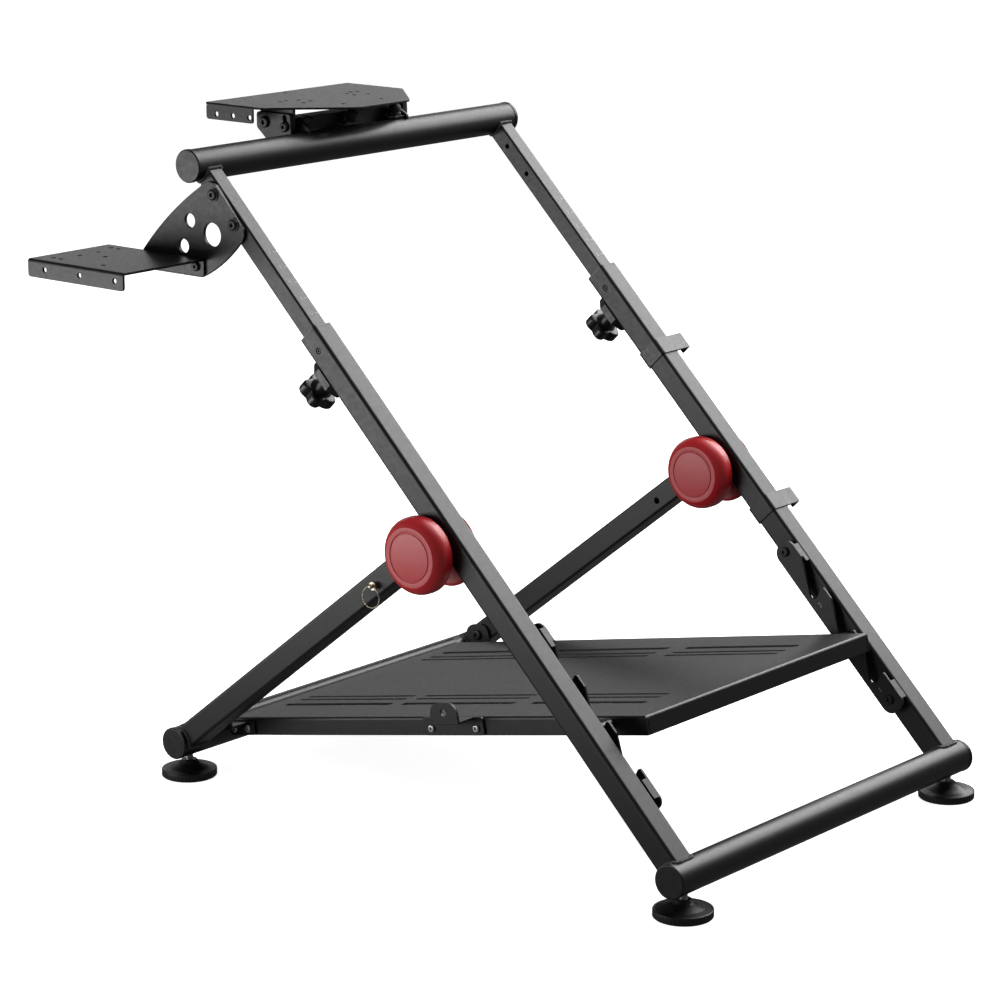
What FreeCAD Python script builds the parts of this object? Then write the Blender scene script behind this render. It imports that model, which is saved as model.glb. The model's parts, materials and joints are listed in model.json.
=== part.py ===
import FreeCAD, Part
import os
from math import acos, cos, degrees, pi, radians, sin, tan

# A folding stand that carries a steering wheel, a gear shifter and a set of pedals.
# Millimetres. +X is the driver's right, +Y points away from the driver, +Z is up.
# The model is laid out about the front crossbar's axis in the stand's mid-plane, and
# is moved onto its bounding box's bottom centre when it is written out.

V = FreeCAD.Vector
X_AXIS = V(1, 0, 0)

# ---- driving dimensions: round crossbars and feet ----
BAR_R = 19.05
BAR_WALL = 2.0
BAR_HALF = 282.5
CAP_FLANGE = 4.8
CAP_R = 19.6
REAR_BAR_Y = -752.4
COPE_R = BAR_R + 0.05
FOOT_X = 261.0
FOOT_DROP = 45.5
FOOT_R = 33.6
FOOT_RIM = 9.5
FOOT_STUD_R = 5.0

# ---- main tubes: an outer sleeve on each side with an inner tube sliding in it ----
MAIN_ANGLE = 45.0
MAIN_LENGTH = 1000.0
SLEEVE_X = 262.0
SLEEVE_SIZE = 30.0
SLEEVE_WALL = 2.0
SLEEVE_TOP = 749.0
INNER_W = 22.0
INNER_H = 23.0
INNER_WALL = 1.5
INNER_BOTTOM = 505.0
BUSH_LENGTH = 34.0
BUSH_LIP = 2.5
BUTTON_R = 2.6
BUTTON_HOLE_R = 3.6
KNOB_ALONG = 700.0
KNOB_LOBES = 5
KNOB_REACH = 22.6
KNOB_GRIP = (24.5, 40.0)
LOBE_R = 8.5
BOSS_DEPTH = 10.0
BOSS_HALF = 14.5
BOSS_FLAT = 12.5
BOSS_TIP = 5.0
BOSS_END = 24.5
HEX_SHARE = 0.46

# ---- legs and the main hinge ----
LEG_ANGLE = 38.2
LEG_W = 35.0
LEG_H = 29.0
LEG_WALL = 2.0
LEG_END = 478.0
HINGE_ALONG = 464.0
HINGE_DROP = 34.0
HINGE_BOLT_R = 6.0
HINGE_EYE_R = 17.0
LUG_T = 12.0
CHEEK_T = 8.0
DISC_R = 44.7
DISC_FACE_R = 34.5
DISC_T = 27.0
DISC_SWELL = 0.45
THIN_FACE_R = 41.0
THIN_T = 6.0
THIN_SWELL = 0.25
GROOVE_R = 28.2
PIN_ALONG = 413.0
PIN_OFF = -1.5
PIN_R = 3.9
PIN_IN = 4.5
BALL_R = 2.9
RING_R = 12.5
RING_WIRE = 0.65

# ---- pedal deck, hinged to the legs ----
DECK_ANGLE = 11.56
DECK_PIVOT_ALONG = 44.0
DECK_HALF = 215.5
DECK_FRONT = 641.4
DECK_REAR = -9.6
DECK_TOP = -4.0
DECK_SHEET = 2.5
DECK_SKIRT = 22.0
LIP_R = 7.0
SLOT_ROWS = ((105.0, 6.5), (121.0, 6.5), (147.0, 11.0))
SLOT_SPANS = ((20.0, 199.0), (215.0, 394.0), (419.0, 589.0))
ROD_R = 5.0
ROD_HALF = 245.5
TAB_X = 240.5
TAB_T = 3.0
PIVOT_R = 4.0
REAR_SCREWS = (-1.0, 22.0)
LOCK_SCREWS = (324.5, 393.5)
FOLD_TURN = 25.3

# ---- notched racks inside the sleeves that hold the deck's cross rod ----
RACK_X = 236.0
RACK_T = 3.0
RACK_START = 79.0
RACK_END = 328.0
RACK_BOLTS = (96.0, 317.0)
NOTCH_FIRST = 127.5
NOTCH_PITCH = 63.25
NOTCH_K = -2.0
NOTCH_R = 5.7
NOTCH_WALL_LEAN = 17.0
NOTCH_FLANK_LEAN = 26.0

# ---- wheel plate, its tilting bracket, and the shifter plate ----
PLATE_TOP = 756.0
PLATE_HALF = 128.0
PLATE_REAR = -835.0
PLATE_SHOULDER = -743.5
PLATE_NOSE = -660.0
PLATE_NOSE_HALF = 48.0
PLATE_HOLE_R = 3.25
PLATE_T = 2.5
PLATE_FLANGE = 20.0
TILT_Y = -757.0
TILT_Z = 736.0
CHEEK_X = 101.0
CHEEK_PLATE_T = 4.0
WEB_Y = -722.0
LEDGE_Z = 727.5
LEDGE_T = 2.5
BUMPER_R = 8.0
BUMPER_TOP = 744.5
BUMPER_X = (-78.0, 0.0, 78.0)
SADDLE_T = 3.0
SADDLE_HALF = 90.0
SADDLE_BOTTOM = 723.0
SADDLE_TOP = 742.0
TILT_LOCK_R = 33.0
TILT_LOCK_DROP = 6.0
TILT_RANGE = 20.0
SHIFTER_TOP = 600.2
SHIFTER_T = 3.0
SHIFTER_FAR = 409.0
SHIFTER_REAR = -849.0
SHIFTER_FRONT = -691.0
CLIP_REACH = 300.0

# ---- where the written model's origin lies: bottom centre of the bounding box ----
ORIGIN = V((SHIFTER_FAR - CLIP_REACH) / 2, (SHIFTER_REAR + FOOT_R) / 2, -FOOT_DROP)

NODES = {}
SIDES = (("left", -1), ("right", 1))


def add(name, *shapes):
    """Keep a node: one solid, or several separate ones."""
    NODES[name] = shapes[0] if len(shapes) == 1 else Part.makeCompound(list(shapes))


def box(x0, x1, y0, y1, z0, z1):
    return Part.makeBox(x1 - x0, y1 - y0, z1 - z0, V(x0, y0, z0))


def rod(radius, start, end):
    axis = end - start
    return Part.makeCylinder(radius, axis.Length, start, axis)


def rod_x(radius, x0, x1, y, z):
    return rod(radius, V(x0, y, z), V(x1, y, z))


def outline(points):
    """A closed wire in the XY plane through (x, y, corner radius) points."""
    edges = []
    ends = []
    count = len(points)
    for i, (px, py, r) in enumerate(points):
        corner = V(px, py, 0)
        back = V(*points[i - 1][:2], 0) - corner
        ahead = V(*points[(i + 1) % count][:2], 0) - corner
        back.normalize()
        ahead.normalize()
        if r == 0:
            ends.append((corner, corner, None))
            continue
        half = back.getAngle(ahead) / 2
        run = r / tan(half)
        middle = back + ahead
        middle.normalize()
        centre = corner + middle * (r / sin(half))
        ends.append((corner + back * run, corner + ahead * run, centre - middle * r))
    for i, (start, end, via) in enumerate(ends):
        if via:
            edges.append(Part.Arc(start, via, end).toShape())
        following = ends[(i + 1) % count][0]
        if (following - end).Length > 1e-6:
            edges.append(Part.LineSegment(end, following).toShape())
    return Part.Wire(edges)


def slab(points, x0, thickness):
    """A flat plate lying across X: (y, z, corner radius) points, from x0 up."""
    face = Part.Face(outline(points))
    solid = face.extrude(V(0, 0, thickness))
    frame = FreeCAD.Matrix(0, 0, 1, x0, 1, 0, 0, 0, 0, 1, 0, 0, 0, 0, 0, 1)
    return moved(solid, frame)


def moved(shape, matrix):
    copy = shape.copy()
    copy.Placement = FreeCAD.Placement(matrix)
    return copy


def square_tube(w, h, wall, corner, z0, z1):
    """A hollow rectangular tube along Z, w across X and h across Y."""

    def bar(bw, bh, r):
        half_w = bw / 2
        half_h = bh / 2
        ring = [(-half_w, -half_h, r), (half_w, -half_h, r), (half_w, half_h, r), (-half_w, half_h, r)]
        solid = Part.Face(outline(ring)).extrude(V(0, 0, z1 - z0))
        solid.translate(V(0, 0, z0))
        return solid

    return bar(w, h, corner).cut(bar(w - 2 * wall, h - 2 * wall, max(corner - wall, 0.5)))


def turned(shape, angle, y, z):
    """Turn a shape about the X axis, then move it in Y and Z."""
    copy = shape.copy()
    copy.rotate(V(0, 0, 0), X_AXIS, angle)
    copy.translate(V(0, y, z))
    return copy


def on_main(shape):
    """From the main tubes' frame: local Y is their front normal, local Z runs up along them."""
    return turned(shape, 90 - MAIN_ANGLE, 0, 0)


def main_point(along, off):
    a = radians(MAIN_ANGLE)
    return V(0, off * sin(a) - along * cos(a), off * cos(a) + along * sin(a))


def on_leg(shape):
    """From the legs' frame: local Y runs up along them from the rear bar, local Z is across."""
    return turned(shape, LEG_ANGLE, REAR_BAR_Y, 0)


def leg_point(along, off):
    a = radians(LEG_ANGLE)
    return V(0, REAR_BAR_Y + along * cos(a) - off * sin(a), along * sin(a) + off * cos(a))


HINGE = main_point(HINGE_ALONG, -HINGE_DROP)
DECK_PIVOT = leg_point(DECK_PIVOT_ALONG, 0)
PIN = leg_point(PIN_ALONG, PIN_OFF)


def on_deck(shape):
    """From the deck's frame: origin on its hinge axis, local Y forward, local Z up off it."""
    return turned(shape, DECK_ANGLE, DECK_PIVOT.y, DECK_PIVOT.z)


def deck_coords(point):
    a = radians(DECK_ANGLE)
    dy = point.y - DECK_PIVOT.y
    dz = point.z - DECK_PIVOT.z
    return dy * cos(a) + dz * sin(a), dz * cos(a) - dy * sin(a)


def mirrored(shape):
    return shape.mirror(V(0, 0, 0), X_AXIS)


def both(shape):
    return [mirrored(shape), shape]


def button_head(radius, height, x, y, z, side):
    """A hex socket button head standing off the face at x, towards side (+1 or -1 along X)."""
    head = rod_x(radius, x, x + side * height, y, z)
    rim = [e for e in head.Edges if abs(e.BoundBox.XMin - (x + side * height)) < 1e-6
           and abs(e.BoundBox.XMax - (x + side * height)) < 1e-6]
    head = head.makeFillet(height * 0.55, rim)
    key = radius * HEX_SHARE
    corners = [V(0, key * cos(i * pi / 3), key * sin(i * pi / 3)) for i in range(6)]
    socket = Part.Face(Part.makePolygon(corners + corners[:1])).extrude(V(side * height, 0, 0))
    return head.cut(at(socket, V(x + side * height * 0.35, y, z)))


# ---- crossbars, end caps and feet ----

def crossbar(name, centre, foot_holes):
    outer = rod_x(BAR_R, -BAR_HALF, BAR_HALF, centre.y, centre.z)
    bar = outer.cut(rod_x(BAR_R - BAR_WALL, -BAR_HALF, BAR_HALF, centre.y, centre.z))
    if foot_holes:
        for side in (-1, 1):
            below = V(side * FOOT_X, centre.y, centre.z - 2 * BAR_R)
            bar = bar.cut(rod(FOOT_STUD_R + 0.08, below, V(side * FOOT_X, centre.y, centre.z)))
    add(name, bar)
    flange = rod_x(CAP_R, BAR_HALF, BAR_HALF + CAP_FLANGE, centre.y, centre.z)
    face_x = BAR_HALF + CAP_FLANGE
    rim = [e for e in flange.Edges if abs(e.BoundBox.XMin - face_x) < 1e-6]
    flange = flange.makeFillet(1.6, rim)
    plug = rod_x(BAR_R - BAR_WALL - 0.05, BAR_HALF - 12, BAR_HALF, centre.y, centre.z)
    plug = plug.cut(rod_x(BAR_R - BAR_WALL - 2.5, BAR_HALF - 12, BAR_HALF, centre.y, centre.z))
    cap = flange.fuse(plug).removeSplitter()
    add(name + "_caps", *both(cap))


def feet(row, centre):
    """Two levelling feet under a crossbar: a pad, its stud, and the nut welded in the bar."""
    floor = -FOOT_DROP
    neck_z = floor + 20.5
    rim_top = floor + FOOT_RIM
    profile = Part.Wire([
        Part.LineSegment(V(0, 0, floor), V(FOOT_R - 1.5, 0, floor)).toShape(),
        Part.LineSegment(V(FOOT_R - 1.5, 0, floor), V(FOOT_R, 0, floor + 1.5)).toShape(),
        Part.LineSegment(V(FOOT_R, 0, floor + 1.5), V(FOOT_R, 0, rim_top - 1.5)).toShape(),
        Part.Arc(V(FOOT_R, 0, rim_top - 1.5), V(FOOT_R - 0.6, 0, rim_top - 0.5),
                 V(FOOT_R - 1.8, 0, rim_top)).toShape(),
        Part.Arc(V(FOOT_R - 1.8, 0, rim_top), V(19, 0, floor + 13.6), V(9, 0, neck_z)).toShape(),
        Part.LineSegment(V(9, 0, neck_z), V(0, 0, neck_z)).toShape(),
        Part.LineSegment(V(0, 0, neck_z), V(0, 0, floor)).toShape(),
    ])
    pad = Part.Face(profile).revolve(V(0, 0, 0), V(0, 0, 1), 360)
    pad = pad.cut(rod(FOOT_STUD_R, V(0, 0, floor + 8), V(0, 0, neck_z + 1)))
    for i in range(24):
        a = i * pi / 12
        slot = box(FOOT_R - 1.2, FOOT_R + 1, -1.1, 1.1, floor - 1, floor + 4.5)
        slot.rotate(V(0, 0, 0), V(0, 0, 1), degrees(a))
        pad = pad.cut(slot)
    stud = rod(FOOT_STUD_R, V(0, 0, floor + 8), V(0, 0, centre.z - 2))
    nuts = []
    for name, side in SIDES:
        spot = V(side * FOOT_X, centre.y, 0)
        add(f"{row}_foot_pad_{name}", at(pad, spot))
        add(f"{row}_foot_stud_{name}", at(stud, spot))
        nut = rod(9.0, V(0, 0, centre.z - BAR_R), V(0, 0, centre.z - 7))
        nut = nut.cut(rod(FOOT_STUD_R + 0.08, V(0, 0, -BAR_R - 1), V(0, 0, 0)))
        nuts.append(at(nut, spot).common(rod_x(BAR_R - BAR_WALL - 0.05, -BAR_HALF, BAR_HALF, centre.y, 0)))
    add(f"{row}_foot_nuts", *nuts)


def at(shape, offset):
    copy = shape.copy()
    copy.translate(offset)
    return copy


# ---- main frame: sleeves, hinge lugs, knob bosses, bushes ----

def main_frame():
    front = rod_x(COPE_R, -BAR_HALF, BAR_HALF, 0, 0)
    for name, side in SIDES:
        sleeve = square_tube(SLEEVE_SIZE, SLEEVE_SIZE, SLEEVE_WALL, 4, 0, SLEEVE_TOP)
        half = SLEEVE_SIZE / 2
        sleeve = sleeve.cut(rod(6.0, V(0, -half - 1, KNOB_ALONG), V(0, -half + 4, KNOB_ALONG)))
        sleeve = sleeve.cut(rod_x(BUTTON_HOLE_R, -half - 1, half + 1, 0, SLEEVE_TOP - 23))
        for along in RACK_BOLTS:
            hole = rod_x(3.0, 0, -side * (half + 1), 0, along)
            sleeve = sleeve.cut(hole)
        placed = on_main(at(sleeve, V(side * SLEEVE_X, 0, 0)))
        add(f"sleeve_tube_{name}", placed.cut(front))
    lug_pts = [(-SLEEVE_SIZE / 2, HINGE_ALONG - 36, 0), (-SLEEVE_SIZE / 2, HINGE_ALONG + 36, 0),
               (-HINGE_DROP - 6, HINGE_ALONG + 15, 0), (-HINGE_DROP - 6, HINGE_ALONG - 15, 0)]
    lug = slab(lug_pts, SLEEVE_X - LUG_T / 2, LUG_T)
    lug = lug.fuse(rod_x(HINGE_EYE_R, SLEEVE_X - LUG_T / 2, SLEEVE_X + LUG_T / 2, -HINGE_DROP, HINGE_ALONG))
    bore = rod_x(HINGE_BOLT_R + 0.06, SLEEVE_X - LUG_T, SLEEVE_X + LUG_T, -HINGE_DROP, HINGE_ALONG)
    lug = on_main(lug.cut(bore).removeSplitter())
    add("hinge_lugs", *both(lug))


def bushes_and_bosses():
    size = SLEEVE_SIZE - 2 * SLEEVE_WALL
    bore = INNER_W + 0.4
    start = SLEEVE_TOP - BUSH_LENGTH
    bush = square_tube(size - 0.04, size - 0.04, (size - bore) / 2, 2.0, start, SLEEVE_TOP)
    lip = square_tube(SLEEVE_SIZE, SLEEVE_SIZE, (SLEEVE_SIZE - bore) / 2, 4, SLEEVE_TOP, SLEEVE_TOP + BUSH_LIP)
    opening = box(-INNER_W / 2 - 0.2, INNER_W / 2 + 0.2, -INNER_H / 2 - 0.2, INNER_H / 2 + 0.2,
                  SLEEVE_TOP - BUSH_LENGTH - 1, SLEEVE_TOP + BUSH_LIP + 1)
    reach = SLEEVE_SIZE / 2 - 0.3
    buttons = rod_x(BUTTON_R, -reach, reach, 0, SLEEVE_TOP - 23)
    bush = bush.fuse([lip, buttons]).cut(opening).removeSplitter()
    for side in (-1, 1):
        bush = bush.cut(rod_x(BUTTON_R * 0.5, side * (reach - 1.5), side * (reach + 1), 0, SLEEVE_TOP - 23))
    back = -SLEEVE_SIZE / 2
    quarter = [(BOSS_HALF, BOSS_FLAT), (BOSS_TIP, BOSS_END)]
    ring = quarter + [(-x, y) for x, y in reversed(quarter)]
    ring += [(-x, -y) for x, y in quarter] + [(x, -y) for x, y in reversed(quarter)]
    block = Part.Face(outline([(x, y, 2.5) for x, y in ring])).extrude(V(0, 0, -BOSS_DEPTH))
    stand = FreeCAD.Matrix(1, 0, 0, 0, 0, 0, 1, 0, 0, -1, 0, 0, 0, 0, 0, 1)
    boss = at(moved(block, stand), V(0, back, KNOB_ALONG))
    boss = boss.cut(rod(4.06, V(0, back + 1, KNOB_ALONG), V(0, back - BOSS_DEPTH - 1, KNOB_ALONG)))
    add("sleeve_bushes", *[on_main(at(bush, V(side * SLEEVE_X, 0, 0))) for name, side in SIDES])
    add("knob_bosses", *[on_main(at(boss, V(side * SLEEVE_X, 0, 0))) for name, side in SIDES])


def height_knobs():
    """A star knob and its clamping stud behind each sleeve."""
    back = -SLEEVE_SIZE / 2
    near = back - KNOB_GRIP[0]
    far = back - KNOB_GRIP[1]
    star = rod(KNOB_REACH - 7.5, V(0, near, 0), V(0, far, 0))
    for i in range(KNOB_LOBES):
        a = 2 * pi * i / KNOB_LOBES + pi / 2
        centre = V((KNOB_REACH - LOBE_R) * cos(a), 0, (KNOB_REACH - LOBE_R) * sin(a))
        star = star.fuse(rod(LOBE_R, centre + V(0, near, 0), centre + V(0, far, 0)))
    star = star.removeSplitter()
    for i in range(KNOB_LOBES):
        a = 2 * pi * (i + 0.5) / KNOB_LOBES + pi / 2
        centre = V((KNOB_REACH + 0.5) * cos(a), 0, (KNOB_REACH + 0.5) * sin(a))
        star = star.cut(rod(9.0, centre + V(0, near + 1, 0), centre + V(0, far - 1, 0)))
    neck = rod(11.0, V(0, back - BOSS_DEPTH - 0.6, 0), V(0, near, 0))
    bore = rod(4.0, V(0, back, 0), V(0, near - 8, 0))
    star = star.fuse(neck).removeSplitter().cut(bore)
    stud = rod(4.0, V(0, -INNER_H / 2 - 0.3, 0), V(0, near - 8, 0))
    for name, side in SIDES:
        spot = V(side * SLEEVE_X, 0, KNOB_ALONG)
        add(f"height_knob_{name}", on_main(at(star, spot)))
        add(f"height_knob_stud_{name}", on_main(at(stud, spot)))


# ---- racks, their bolts, and the cable clips ----

def lean(angle):
    """Unit vector in the main frame's (off, along) plane, leaning back from the vertical."""
    a = radians(90 - MAIN_ANGLE + angle)
    return V(cos(a), sin(a), 0)


def notch_cut(along):
    """A slot open at the rack's front edge: a leaning back wall, a round seat, a front flank."""
    wall = lean(NOTCH_WALL_LEAN)
    flank = lean(-NOTCH_FLANK_LEAN)
    seat = V(NOTCH_K, along, 0)
    wall_foot = seat + V(-wall.y, wall.x, 0) * NOTCH_R
    flank_foot = seat + V(flank.y, -flank.x, 0) * NOTCH_R
    reach = 70.0
    pts = [flank_foot, wall_foot, wall_foot + wall * reach, flank_foot + flank * reach]
    wedge = slab([(p.x, p.y, 0) for p in pts], RACK_X - 1, RACK_T + 2)
    return wedge.fuse(rod_x(NOTCH_R, RACK_X - 1, RACK_X + RACK_T + 1, NOTCH_K, along))


def racks():
    half = SLEEVE_SIZE / 2
    plate_pts = [(-half, RACK_START, 14), (half + 0.5, RACK_START, 10),
                 (half + 0.5, RACK_END, 12), (-half, RACK_END, 14)]
    plate = slab(plate_pts, RACK_X, RACK_T)
    gap_end = SLEEVE_X - half
    for low, high in ((RACK_START + 9, RACK_START + 34), (RACK_END - 36, RACK_END - 11)):
        plate = plate.fuse(box(RACK_X, gap_end, half - 2, half + 0.5, low, high))
    for i in range(3):
        plate = plate.cut(notch_cut(NOTCH_FIRST + i * NOTCH_PITCH))
    tips = [e for e in plate.Edges if e.BoundBox.XMax - e.BoundBox.XMin > RACK_T - 0.01
            and e.BoundBox.YMin > half - 1 and e.BoundBox.ZMin > RACK_START + 36
            and e.BoundBox.ZMax < RACK_END - 37]
    plate = plate.makeFillet(3.0, tips)
    bolts = []
    for along in RACK_BOLTS:
        plate = plate.cut(rod_x(3.05, RACK_X - 1, RACK_X + RACK_T + 1, 0, along))
        head = button_head(6.0, 3.4, RACK_X, 0, along, -1)
        shank = rod_x(2.95, RACK_X, SLEEVE_X - half + 8, 0, along)
        spacer = rod_x(7.0, RACK_X + RACK_T, gap_end, 0, along).cut(rod_x(3.0, RACK_X, gap_end, 0, along))
        bolts.append(head.fuse(shank).removeSplitter())
        bolts.append(spacer)
    placed = on_main(plate.removeSplitter())
    for name, side in SIDES:
        add(f"notched_rack_{name}", placed if side > 0 else mirrored(placed))
    placed = [on_main(b) for b in bolts]
    add("rack_bolts_and_spacers", *(placed + [mirrored(b) for b in placed]))


def cable_clips():
    wall = 1.8
    half = SLEEVE_SIZE / 2 + wall
    clips = []
    for along in (368.0, 610.0):
        band = square_tube(2 * half, 2 * half, wall - 0.02, 5, along, along + 22)
        reach = CLIP_REACH - SLEEVE_X
        arm = box(half - 4, reach, half - 3.0, half, along, along + 22)
        hook = box(reach - 3, reach, half - 13, half - 3.0, along, along + 22)
        clip = band.fuse([arm, hook]).removeSplitter()
        clip = clip.cut(box(-half + wall, half - wall, -half + wall, half - wall, along - 1, along + 23))
        clips.append(mirrored(on_main(at(clip, V(SLEEVE_X, 0, 0)))))
    add("cable_clips", *clips)


# ---- height-adjusting mast: inner tubes, shifter bracket and plate, wheel bracket ----

def mast():
    top = main_point(MAIN_LENGTH, 0)
    bar = rod_x(COPE_R, -BAR_HALF, BAR_HALF, top.y, top.z)
    for name, side in SIDES:
        tube = square_tube(INNER_W, INNER_H, INNER_WALL, 2.5, INNER_BOTTOM, MAIN_LENGTH)
        for along in (911.0, 956.0):
            tube = tube.cut(rod_x(3.05, -INNER_W, INNER_W, 0, along))
        add(f"inner_tube_{name}", on_main(at(tube, V(side * SLEEVE_X, 0, 0))).cut(bar))


def shifter_arm():
    """The bracket on the inner tube, and its plate: the flat sheet and each flange are solids of their own."""
    inner = SLEEVE_X + INNER_W / 2
    thick = 4.0
    corners = (V(0, -697, 683.5), V(0, -749.5, 644.5), V(0, -812, 577), V(0, -697, 577),
               V(0, -659, 600.5), V(0, -636, 622), V(0, -629, 640.5), V(0, -671.5, 686.5))
    left_low = corners[2]
    edges = [
        Part.Arc(corners[0], corners[1], left_low).toShape(),
        Part.LineSegment(left_low, corners[3]).toShape(),
        Part.Arc(corners[3], corners[4], corners[5]).toShape(),
        Part.Arc(corners[5], V(0, -628.5, 631), corners[6]).toShape(),
        Part.LineSegment(corners[6], corners[7]).toShape(),
        Part.Arc(corners[7], V(0, -685.5, 690), corners[0]).toShape(),
    ]
    plate = Part.Face(Part.Wire(edges)).extrude(V(thick, 0, 0))
    plate.translate(V(inner, 0, 0))
    for y, z, r in ((-715, 642, 8.5), (-726, 611, 8.5), (-679, 629, 14.0)):
        plate = plate.cut(rod_x(r, inner - 1, inner + thick + 1, y, z))
    bolts = []
    for along in (911.0, 956.0):
        p = main_point(along, 0)
        plate = plate.cut(rod_x(3.05, inner - 1, inner + thick + 1, p.y, p.z))
        shank = rod_x(2.95, SLEEVE_X - INNER_W / 2 - 1, inner + thick, p.y, p.z)
        collar = rod_x(8.0, inner + thick, inner + thick + 1.4, p.y, p.z)
        head = button_head(6.5, 4.0, inner + thick, p.y, p.z, 1)
        bolts.append(head.fuse([shank, collar]).removeSplitter())
    face = inner + thick
    top = box(face, SHIFTER_FAR, SHIFTER_REAR, SHIFTER_FRONT, SHIFTER_TOP - 21, SHIFTER_TOP)
    ridge = [e for e in top.Edges if abs(e.BoundBox.ZMin - SHIFTER_TOP) < 1e-6
             and e.BoundBox.YMax - e.BoundBox.YMin > 100]
    top = top.makeFillet(3.5, ridge)
    top = top.cut(box(face + SHIFTER_T, SHIFTER_FAR - SHIFTER_T, SHIFTER_REAR - 1, SHIFTER_FRONT + 1,
                      SHIFTER_TOP - 22, SHIFTER_TOP - SHIFTER_T))
    tips = [e for e in top.Edges if e.BoundBox.XMax - e.BoundBox.XMin > SHIFTER_T - 0.1
            and e.BoundBox.XMax - e.BoundBox.XMin < SHIFTER_T + 0.1
            and e.BoundBox.ZMax < SHIFTER_TOP - 20 and e.BoundBox.YMax - e.BoundBox.YMin < 1e-6]
    top = top.makeFillet(4.0, tips)
    drill_z = (V(0, 0, SHIFTER_TOP - 10), V(0, 0, SHIFTER_TOP + 1))
    rear_holes = ((388, -828), (388, -816), (356, -818), (326, -818), (296, -828), (296, -816))
    for x, y in rear_holes + ((344, -788), (385, -748)):
        top = top.cut(rod(3.25, V(x, y, 0) + drill_z[0], V(x, y, 0) + drill_z[1]))
    hole_z = SHIFTER_TOP - 10.5
    for y in (-821, -763, -705):
        top = top.cut(rod_x(3.25, SHIFTER_FAR - 5, SHIFTER_FAR + 1, y, hole_z))
    for y in (-785, -703):
        top = top.cut(rod_x(3.05, face - 1, face + 5, y, hole_z))
        plate = plate.cut(rod_x(3.05, inner - 1, face + 1, y, hole_z))
        shank = rod_x(2.95, inner - 3, face + SHIFTER_T, y, hole_z)
        bolts.append(button_head(5.5, 3.4, face + SHIFTER_T, y, hole_z, 1).fuse(shank).removeSplitter())
    add("shifter_bracket", plate)
    sheet = box(face - 1, SHIFTER_FAR + 1, SHIFTER_REAR - 1, SHIFTER_FRONT + 1,
                SHIFTER_TOP - SHIFTER_T, SHIFTER_TOP + 1)
    add("shifter_plate", top.common(sheet), *top.cut(sheet).Solids)
    add("shifter_bolts", *bolts)


def wheel_bracket():
    """Two cheeks and a saddle on the top bar, between which the wheel plate tilts."""
    top = main_point(MAIN_LENGTH, 0)
    bar = rod_x(COPE_R, -BAR_HALF, BAR_HALF, top.y, top.z)
    cheek_pts = [(-771, 748, 4), (-771, 729, 6), (-752, 713, 8), (-714, 704, 0), (-716, 748, 4)]
    cheek = slab(cheek_pts, CHEEK_X, CHEEK_PLATE_T)
    x0 = CHEEK_X - 1
    x1 = CHEEK_X + CHEEK_PLATE_T + 1
    cheek = cheek.cut(rod_x(4.06, x0, x1, TILT_Y, TILT_Z)).cut(bar)
    slot = rod_x(TILT_LOCK_R + 3.2, x0, x1, TILT_Y, TILT_Z)
    slot = slot.cut(rod_x(TILT_LOCK_R - 3.2, x0, x1, TILT_Y, TILT_Z))
    ends = (-TILT_LOCK_DROP, TILT_RANGE - TILT_LOCK_DROP)
    rays = [tilt_point(3 * TILT_LOCK_R, angle) for angle in ends]
    slot = slot.common(slab([(TILT_Y, TILT_Z, 0), (*rays[0], 0), (*rays[1], 0)], x0, x1 - x0))
    slot = slot.fuse([rod_x(3.2, x0, x1, *tilt_point(TILT_LOCK_R, angle)) for angle in ends])
    add("wheel_bracket_cheeks", *both(cheek.cut(slot)))
    saddle = box(-SADDLE_HALF, SADDLE_HALF, WEB_Y - SADDLE_T, WEB_Y, SADDLE_BOTTOM, SADDLE_TOP)
    roof = box(-SADDLE_HALF, SADDLE_HALF, -745, WEB_Y, SADDLE_TOP - SADDLE_T, SADDLE_TOP)
    end_pts = [(-745, SADDLE_TOP, 0), (-745, 733, 4), (WEB_Y - 5, top.z, 0), (-700, top.z, 0), (-700, 731, 4),
               (WEB_Y, SADDLE_TOP, 0)]
    end = slab(end_pts, SADDLE_HALF - SADDLE_T, SADDLE_T)
    bumper_y = WEB_Y + BUMPER_R + 2
    reach = BUMPER_R + 0.9
    ledges = [box(x - reach, x + reach, WEB_Y, bumper_y + reach, LEDGE_Z, LEDGE_Z + LEDGE_T) for x in BUMPER_X]
    saddle = saddle.fuse([roof] + both(end) + ledges).removeSplitter()
    add("wheel_bracket_saddle", saddle.cut(bar))
    bumper = rod(BUMPER_R, V(0, bumper_y, LEDGE_Z + LEDGE_T), V(0, bumper_y, BUMPER_TOP))
    rim = [e for e in bumper.Edges if abs(e.BoundBox.ZMin - BUMPER_TOP) < 1e-6]
    bumper = bumper.makeFillet(5.0, rim)
    add("plate_bumpers", *[at(bumper, V(x, 0, 0)) for x in BUMPER_X])
    pivots = []
    for side in (-1, 1):
        face = side * (CHEEK_X + CHEEK_PLATE_T)
        head = button_head(7.0, 4.0, face, TILT_Y, TILT_Z, side)
        shank = rod_x(4.0, face, side * (CHEEK_X - 6.5), TILT_Y, TILT_Z)
        nut = rod_x(7.0, side * (CHEEK_X - 5.1), side * (CHEEK_X - 10), TILT_Y, TILT_Z)
        pivots.append(head.fuse([shank, nut]).removeSplitter())
    add("tilt_pivot_bolts", *pivots)


def tilt_point(radius, angle):
    a = radians(angle)
    return TILT_Y + radius * cos(a), TILT_Z + radius * sin(a)


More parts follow.
